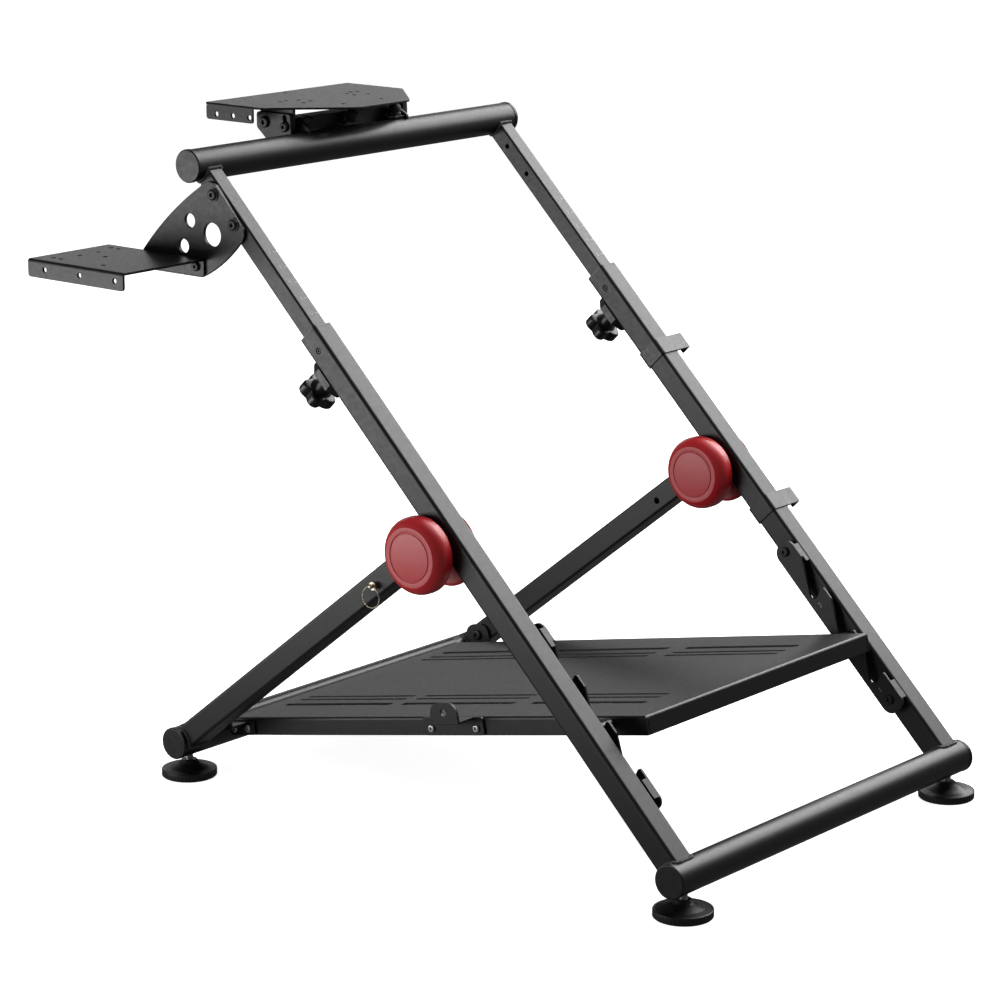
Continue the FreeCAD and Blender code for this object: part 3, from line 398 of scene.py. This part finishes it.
def sweep(bm, path, radius_at, sides=8, closed=True, squash=1.0):
    """Sweep a round section along a path. radius_at(i) gives its size at point i."""
    count = len(path)
    rings = []
    previous = None
    for i, point in enumerate(path):
        ahead = path[(i + 1) % count] if closed or i < count - 1 else point
        behind = path[i - 1] if closed or i > 0 else point
        tangent = (ahead - behind).normalized()
        guide = previous or (Vector((0, 0, 1)) if abs(tangent.z) < 0.8 else X_AXIS)
        side = (guide - tangent * guide.dot(tangent)).normalized()
        previous = side
        other = tangent.cross(side)
        r = radius_at(i)
        rings.append([bm.verts.new(point + (side * cos(a) + other * sin(a) * squash) * r)
                      for a in (2 * pi * k / sides for k in range(sides))])
    pairs = list(zip(rings, rings[1:] + rings[:1])) if closed else list(zip(rings, rings[1:]))
    for low, high in pairs:
        for k in range(sides):
            j = (k + 1) % sides
            bm.faces.new((low[k], low[j], high[j], high[k]))
    if not closed:
        bm.faces.new(rings[0])
        bm.faces.new(rings[-1])


# ---- round hinge covers ----

GROOVE_R = 28.2 * MM
GROOVE_DEPTH = 0.9 * MM
SWELL_STEPS = 14
DEEP_COVER = {"face_r": 34.5 * MM, "swell": 0.45}
SHALLOW_COVER = {"face_r": 41.0 * MM, "swell": 0.25}


def cover_profile(r, t, face_r, swell):
    """Half section of a cover: it swells to its widest, then rounds in to a flat grooved face."""
    wide = Vector((r, swell * t))
    brink = Vector((face_r + 1.0 * MM, t - 0.7 * MM))
    run = wide.x - brink.x
    rise = brink.y - wide.y
    bend = (run * run + rise * rise) / (2 * run)
    turn = acos(1 - run / bend)
    profile = [(r * 0.3, 0.2 * MM, 0), (r - 3.5 * MM, 0, 0.5 * MM), (r, 0.18 * t, 0.16 * t)]
    for k in range(SWELL_STEPS + 1):
        a = turn * k / SWELL_STEPS
        profile.append((wide.x - bend * (1 - cos(a)), wide.y + bend * sin(a), 0))
    profile += [
        (face_r, t, 0.2 * MM), (GROOVE_R + 0.9 * MM, t, 0.2 * MM),
        (GROOVE_R + 0.5 * MM, t - GROOVE_DEPTH, 0.15 * MM),
        (GROOVE_R - 0.5 * MM, t - GROOVE_DEPTH, 0.15 * MM),
        (GROOVE_R - 0.9 * MM, t, 0.2 * MM), (0, t, 0),
    ]
    return rounded(profile)


def hinge_covers():
    """Red covers: a deep one faces right on each hinge and a shallow one faces left."""
    for name, side in SIDES:
        for place, facing in (("outer", side), ("inner", -side)):
            node = f"hinge_cover_{place}_{name}"
            low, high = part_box(node)
            r = (high.z - low.z) / 2
            t = high.x - low.x
            shape = DEEP_COVER if facing > 0 else SHALLOW_COVER
            back = low.x if facing > 0 else high.x
            bm = bmesh.new()
            centre = Vector((back, (low.y + high.y) / 2, (low.z + high.z) / 2))
            lathe(bm, axis_frame(centre, X_AXIS * facing), cover_profile(r, t, **shape), 128)
            piece(node + "_shell", finished(node, bm, 30), "legs", "red_plastic", replaced=(node,))


# ---- levelling feet ----

FOOT_NOTCHES = 46
FOOT_NOTCH_DEPTH = 0.95 * MM
FOOT_RIM_SHARE = 0.46


def feet():
    """Dished pads with a notched rim, and threaded studs."""
    for row in ("front", "rear"):
        for name, _ in SIDES:
            node = f"{row}_foot_pad_{name}"
            body = f"{row}_foot_{name}"
            low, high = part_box(node)
            centre = Vector(((low.x + high.x) / 2, (low.y + high.y) / 2, low.z))
            r = (high.x - low.x) / 2
            tall = high.z - low.z
            rim = tall * FOOT_RIM_SHARE
            profile = [
                (0, 1.2 * MM, 0), (r * 0.86, 1.2 * MM, 0.3 * MM),
                (r * 0.9, 0, 0.4 * MM), (r * 0.965, 0, 0.6 * MM),
                (r, 1.2 * MM, 0.5 * MM), (r, rim - 0.4 * MM, 1.1 * MM),
                (r * 0.955, rim + 0.2 * MM, 0.5 * MM),
                (r * 0.93, rim - 0.2 * MM, 0.4 * MM), (r * 0.72, rim + 1.3 * MM, 6 * MM),
                (r * 0.36, tall * 0.80, 6 * MM), (r * 0.27, tall, 0.8 * MM), (5.3 * MM, tall, 0),
            ]
            points = rounded(profile, 6)

            def notched(angle, radius, index):
                height = points[index].y
                if radius < r * 0.975 or height > rim * 0.86:
                    return radius
                wave = cos(angle * FOOT_NOTCHES)
                cut = min(max((wave - 0.1) * 3, 0), 1)
                return radius - FOOT_NOTCH_DEPTH * cut

            bm = bmesh.new()
            lathe(bm, Matrix.Translation(centre), points, FOOT_NOTCHES * 8, notched)
            piece(node + "_moulding", finished(node, bm, 50), body, "foot_plastic", replaced=(node,))
            stud = f"{row}_foot_stud_{name}"
            threaded(stud, body, replaced=(stud,))


STUD_PITCH = 1.5 * MM
THREAD_DEPTH = 0.42
THREAD_SEGMENTS = 32
RINGS_PER_PITCH = 8


def threaded(node, body, replaced=()):
    """A threaded stud in place of an upright plain rod."""
    low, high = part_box(node)
    r = (high.x - low.x) / 2
    bottom = Vector(((low.x + high.x) / 2, (low.y + high.y) / 2, low.z))
    bm = bmesh.new()
    helix(bm, Matrix.Translation(bottom), r, high.z - low.z, STUD_PITCH)
    piece(node + "_thread", finished(node, bm, 40), body, "zinc_steel", replaced=replaced)


def helix(bm, matrix, radius, length, pitch):
    """A threaded rod along local Z: rings whose radius follows the thread."""
    segments = THREAD_SEGMENTS
    steps = int(ceil(length / pitch * RINGS_PER_PITCH))
    rings = []
    for i in range(steps + 1):
        z = length * i / steps
        ring = []
        for k in range(segments):
            a = 2 * pi * k / segments
            phase = (z / pitch - k / segments) % 1.0
            crest = abs(2 * phase - 1)
            r = radius - pitch * THREAD_DEPTH * (1 - crest)
            ring.append(bm.verts.new(matrix @ Vector((r * cos(a), r * sin(a), z))))
        rings.append(ring)
    for low, high in zip(rings, rings[1:]):
        for k in range(segments):
            j = (k + 1) % segments
            bm.faces.new((low[k], low[j], high[j], high[k]))
    bm.faces.new(rings[0])
    bm.faces.new(rings[-1])


# ---- star knobs ----

KNOB_LOBES = 5
LOBE_START = 12.5 * MM
LOBE_DEPTH = 0.30


def height_knobs():
    """Star knobs with rounded lobes, a recessed cap and a plain round neck."""
    for name, _ in SIDES:
        turn = joint(f"height_knob_{name}_turn")
        axis = Vector(turn["axis"])
        node = f"height_knob_{name}"
        centre = Vector(turn["pos_m"])
        verts = [v.co for v in NODES[node].data.vertices]
        along = [(v - centre).dot(axis) for v in verts]
        start = min(along)
        end = max(along)
        reach = max(((v - centre) - axis * (v - centre).dot(axis)).length for v in verts)
        grip = start + (end - start) * 0.5
        profile = [
            (4.1 * MM, start, 0), (10.2 * MM, start, 0.8 * MM), (10.8 * MM, grip - 2 * MM, 1.5 * MM),
            (14 * MM, grip, 1.2 * MM), (reach, grip, 3 * MM), (reach, end, 4 * MM),
            (12 * MM, end, 1.2 * MM), (10.8 * MM, end - 1.2 * MM, 0.5 * MM), (0, end - 0.9 * MM, 0),
        ]
        points = rounded(profile, 7)

        def lobed(angle, radius, _):
            wave = 0.5 + 0.5 * cos(KNOB_LOBES * (angle - pi / 2))
            share = min(max((radius - LOBE_START) / (reach - LOBE_START), 0), 1)
            hollow = 1 - LOBE_DEPTH * share * (1 - wave ** 0.62)
            return radius * hollow

        bm = bmesh.new()
        lathe(bm, axis_frame(centre, axis, TUBE_UP), points, KNOB_LOBES * 32, lobed)
        piece(node + "_star", finished(node, bm, 55), f"knob_{name}", "black_plastic", replaced=(node,))


# ---- lock pin ring ----

RING_TURNS = 1.62
RING_POINTS = 150
RING_START = 0.6


def lock_ring():
    """A split ring: just over one and a half turns of round wire lying side by side."""
    low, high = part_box("lock_pin_ring")
    centre = (low + high) / 2
    wire = (high.x - low.x) / 2
    r = (high.z - low.z) / 2 - wire
    thin = wire * 0.5
    steps = RING_POINTS
    path = []
    for i in range(steps + 1):
        a = 2 * pi * RING_TURNS * i / steps + RING_START
        blend = min(max((i - steps / RING_TURNS * 0.94) / (steps * 0.074), 0), 1)
        shift = thin * 1.02 * (2 * blend - 1)
        path.append(centre + Vector((shift, r * cos(a), r * sin(a))))
    bm = bmesh.new()
    sweep(bm, path, lambda i: thin, 10, closed=False)
    piece("lock_pin_split_ring", finished("lock_ring", bm, 60), "lock_ring", "zinc_steel", RING_WIRE,
          replaced=("lock_pin_ring",))
    pin = NODES["lock_pin"].data.materials
    pin.clear()
    pin.append(RING_WIRE)


# ---- bumpers under the wheel plate ----

def bumpers():
    """Domed rubber bumpers with a waist, in front of the saddle's web."""
    low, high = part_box("plate_bumpers")
    r = (high.y - low.y) / 2
    tall = high.z - low.z
    profile = [
        (0, 0, 0), (r * 0.97, 0, 0.6 * MM), (r * 0.97, tall * 0.20, 0.6 * MM),
        (r * 0.86, tall * 0.27, 0.6 * MM), (r * 0.86, tall * 0.34, 0.6 * MM),
        (r * 0.99, tall * 0.42, 0.8 * MM), (r * 0.97, tall * 0.72, 2.5 * MM),
        (r * 0.52, tall, 2.5 * MM), (0, tall, 0),
    ]
    middle_x = (low.x + high.x) / 2
    spread = (high.x - low.x) / 2 - r
    bm = bmesh.new()
    for x in (-spread, 0, spread):
        lathe(bm, Matrix.Translation((middle_x + x, (low.y + high.y) / 2, low.z)), rounded(profile), 48)
    piece("plate_bumper_mouldings", finished("bumpers", bm), "mast", "bumper_rubber",
          replaced=("plate_bumpers",))


# ---- welds ----

BEAD_R = 2.5 * MM
BEAD_STEP = 0.55 * MM
RIPPLE = 2.3 * MM
SLEEVE_SECTION = (30 * MM, 30 * MM, 4 * MM)
INNER_SECTION = (22 * MM, 23 * MM, 2.5 * MM)
LEG_SECTION = (35 * MM, 29 * MM, 3.5 * MM)


def bead(bm, path, rng, closed=True):
    """A weld bead along a path: overlapping ripples of slightly uneven size."""
    length = 0.0
    sizes = []
    count = len(path)
    for i in range(count):
        phase = (length / RIPPLE) % 1.0
        if phase < BEAD_STEP / RIPPLE:
            scale = rng.uniform(0.84, 1.14)
        sizes.append(BEAD_R * scale * (0.74 + 0.3 * sin(pi * phase)))
        length += (path[(i + 1) % count] - path[i]).length
    sweep(bm, path, lambda i: sizes[i], 10, closed)


def spaced(corners, step, closed=True):
    """Evenly spaced points along a run of straight pieces."""
    points = []
    pairs = zip(corners, corners[1:] + corners[:1]) if closed else zip(corners, corners[1:])
    for a, b in pairs:
        n = max(1, round((b - a).length / step))
        points += [a.lerp(b, i / n) for i in range(n)]
    return points


def section(width, height, corner):
    """Points round a rounded rectangle, as (x, y) pairs."""
    points = []
    for cx, cy, start in ((1, 1, 0), (-1, 1, 90), (-1, -1, 180), (1, -1, 270)):
        for k in range(7):
            a = radians(start + 15 * k)
            points.append(Vector((cx * (width / 2 - corner) + corner * cos(a),
                                  cy * (height / 2 - corner) + corner * sin(a), 0)))
    return spaced(points, BEAD_STEP)


def tube_weld(name, body, bar, sides_at, direction, across, size, towards):
    """A bead all round where square tubes meet a round bar."""
    rng = random.Random(name)
    bm = bmesh.new()
    width, height, corner = size
    for side in sides_at:
        path = []
        for p in section(width, height, corner):
            rise = sqrt(max(BAR_R * BAR_R - p.y * p.y, 0.0))
            path.append(bar + X_AXIS * (side + p.x) + across * p.y + direction * (rise * towards))
        bead(bm, path, rng)
    piece(name, finished(name, bm, 60), body, "black_powder_coat", WELD)


def welds():
    both = (-TUBE_X, TUBE_X)
    tube_weld("front_bar_welds", "main_frame", FRONT_BAR, both, TUBE_UP, TUBE_FRONT, SLEEVE_SECTION, 1)
    tube_weld("top_bar_welds", "mast", TOP_BAR, both, TUBE_UP, TUBE_FRONT, INNER_SECTION, -1)
    tube_weld("rear_bar_welds", "legs", REAR_BAR, both, LEG_UP, LEG_FRONT, LEG_SECTION, 1)


# ---- printed and punched marks ----

INK_DEPTH = 0.04 * MM
INK_LIFT = 0.03 * MM


def glyphs(bm, text, size, matrix):
    """Add flat extruded characters, centred on the matrix's origin, facing its local Z."""
    curve = bpy.data.curves.new("glyph", "FONT")
    curve.body = text
    curve.size = size
    curve.align_x = "CENTER"
    curve.align_y = "CENTER"
    curve.extrude = INK_DEPTH
    holder = bpy.data.objects.new("glyph", curve)
    bpy.context.scene.collection.objects.link(holder)
    bpy.context.view_layer.update()
    evaluated = holder.evaluated_get(bpy.context.evaluated_depsgraph_get())
    mesh = bpy.data.meshes.new_from_object(evaluated)
    mesh.transform(matrix)
    bm.from_mesh(mesh)
    bpy.data.objects.remove(holder)
    bpy.data.meshes.remove(mesh)
    bpy.data.curves.remove(curve)


def facing(origin, outward, up):
    """A matrix for lettering: local Z is outward and local Y is up."""
    z = outward.normalized()
    y = (up - z * up.dot(z)).normalized()
    x = y.cross(z)
    return Matrix.Translation(origin) @ Matrix((x, y, z)).transposed().to_4x4()


SCALE_START = 769 * MM
SCALE_STEP = 22.5 * MM
SCALE_MARKS = 5
SCALE_DIGIT = 7.4 * MM
INNER_FACE = 11.5 * MM
RACK_FIRST = 112 * MM
RACK_PITCH = 63.25 * MM
RACK_NOTCHES = 3
RACK_DIGIT = 9.5 * MM


def tick(bm, centre, length, width):
    """A thin printed line across a tube's front face."""
    across = X_AXIS * length / 2
    along = TUBE_UP * width / 2
    corners = [
        centre - across - along, centre + across - along,
        centre + across + along, centre - across + along,
    ]
    bm.faces.new([bm.verts.new(c) for c in corners])


def height_scales():
    """A digit and a tick for each height step, on the inner tubes' front faces."""
    face = INNER_FACE + INK_LIFT
    for name, side in SIDES:
        bm = bmesh.new()
        for i in range(SCALE_MARKS):
            along = SCALE_START + i * SCALE_STEP
            spot = on_tube(side, along, face)
            digit = spot + X_AXIS * 2.6 * MM
            glyphs(bm, str(SCALE_MARKS - i), SCALE_DIGIT, facing(digit, TUBE_FRONT, TUBE_UP))
            tick(bm, spot - X_AXIS * 5.7 * MM, 6 * MM, 0.9 * MM)
        title = f"height_scale_{name}"
        piece(title, finished(title, bm, 20), "mast", "black_powder_coat", MARK)


def rack_numbers():
    """Each rack's notches are numbered from the front."""
    for name, side in SIDES:
        low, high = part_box(f"notched_rack_{name}")
        plate_x = low.x if side > 0 else high.x
        outward = X_AXIS * -side
        bm = bmesh.new()
        for i in range(RACK_NOTCHES):
            along = RACK_FIRST + i * RACK_PITCH
            spot = FRONT_BAR + TUBE_UP * along + TUBE_FRONT * -3 * MM
            spot = Vector((plate_x - side * INK_LIFT, spot.y, spot.z))
            glyphs(bm, str(i + 1), RACK_DIGIT, facing(spot, outward, TUBE_UP))
        marks = finished("rack_numbers", bm, 20)
        piece(f"rack_numbers_{name}", marks, "main_frame", "black_powder_coat", MARK)


# ---- light, floor and camera ----

CAMERA_AZIMUTH = 129.996
CAMERA_ELEVATION = 13.798
CAMERA_DISTANCE = 4.0816
CAMERA_LENS = 122.2
CAMERA_SENSOR = 36
CAMERA_REACH = 60
LOOK_AT = FRONT_BAR + Vector((0, -477.3 * MM, 293.3 * MM))
AMBIENT = 0.12
FLOOR_HALF = 14
FLOOR_DROP = 0.2 * MM
FLOOR_GLOW = 0.92
# name, azimuth, elevation, distance, width, height (metres and degrees), watts
SOFTBOXES = (
    ("left_key", 263, 38, 3.0, 2.6, 2.2, 120),
    ("right_fill", 56, -3, 2.0, 1.7, 0.7, 18),
    ("back_wall", 312, 14, 4.0, 4.0, 0.8, 14),
    ("overhead", 235, 72, 3.0, 2.0, 2.0, 18),
)


def direction(azimuth, elevation):
    a = radians(azimuth)
    e = radians(elevation)
    return Vector((sin(a) * cos(e), -cos(a) * cos(e), sin(e)))


def aim(obj, target):
    obj.rotation_mode = "QUATERNION"
    obj.rotation_quaternion = (target - obj.location).to_track_quat("-Z", "Y")


def camera():
    data = bpy.data.cameras.new("camera")
    data.lens = CAMERA_LENS
    data.sensor_width = CAMERA_SENSOR
    data.clip_end = CAMERA_REACH
    obj = bpy.data.objects.new("camera", data)
    bpy.context.scene.collection.objects.link(obj)
    obj.location = LOOK_AT + direction(CAMERA_AZIMUTH, CAMERA_ELEVATION) * CAMERA_DISTANCE
    aim(obj, LOOK_AT)
    bpy.context.scene.camera = obj


def softbox(name, azimuth, elevation, distance, width, height, power):
    data = bpy.data.lights.new(name, "AREA")
    data.shape = "RECTANGLE"
    data.size = width
    data.size_y = height
    data.energy = power
    obj = bpy.data.objects.new(name, data)
    bpy.context.scene.collection.objects.link(obj)
    obj.location = LOOK_AT + direction(azimuth, elevation) * distance
    aim(obj, LOOK_AT)
    obj.visible_camera = False


def backdrop():
    """White where the camera looks straight at it and dim where surfaces reflect it."""
    world = bpy.data.worlds.new("studio")
    bpy.context.scene.world = world
    world.use_nodes = True
    nodes = world.node_tree.nodes
    links = world.node_tree.links
    seen = nodes["Background"]
    seen.inputs["Color"].default_value = (1, 1, 1, 1)
    seen.inputs["Strength"].default_value = 1.0
    ambient = nodes.new("ShaderNodeBackground")
    ambient.inputs["Color"].default_value = (1, 1, 1, 1)
    ambient.inputs["Strength"].default_value = AMBIENT
    path = nodes.new("ShaderNodeLightPath")
    mix = nodes.new("ShaderNodeMixShader")
    links.new(path.outputs["Is Camera Ray"], mix.inputs[0])
    links.new(ambient.outputs["Background"], mix.inputs[1])
    links.new(seen.outputs["Background"], mix.inputs[2])
    links.new(mix.outputs["Shader"], nodes["World Output"].inputs["Surface"])


def studio():
    backdrop()
    for row in SOFTBOXES:
        softbox(*row)
    floor_mesh = bpy.data.meshes.new("floor")
    half = FLOOR_HALF
    corners = [(-half, -half, 0), (half, -half, 0), (half, half, 0), (-half, half, 0)]
    floor_mesh.from_pydata(corners, [], [(0, 1, 2, 3)])
    floor = bpy.data.objects.new("floor", floor_mesh)
    bpy.context.scene.collection.objects.link(floor)
    floor.location.z = CAD_BOX[0].z - FLOOR_DROP
    floor.visible_glossy = False
    floor.visible_diffuse = False
    paper = Surface("pale_floor", 0.9, Emission_Strength=FLOOR_GLOW)
    paper.shader.inputs["Emission Color"].default_value = (1, 1, 1, 1)
    base = paper.colour(paper.noise(0.5, 3), (0.86, 0.86, 0.86), (0.90, 0.90, 0.90))
    paper.bump(paper.noise(2 * MM, 2), 0.05 * MM, 0.2)
    floor_mesh.materials.append(paper.done(base, paper.remap(paper.noise(0.1, 3), 0.85, 0.95)))
    bpy.context.scene.view_settings.view_transform = "Standard"


dress_cad_nodes()
hinge_covers()
feet()
height_knobs()
lock_ring()
bumpers()
welds()
height_scales()
rack_numbers()
studio()
camera()
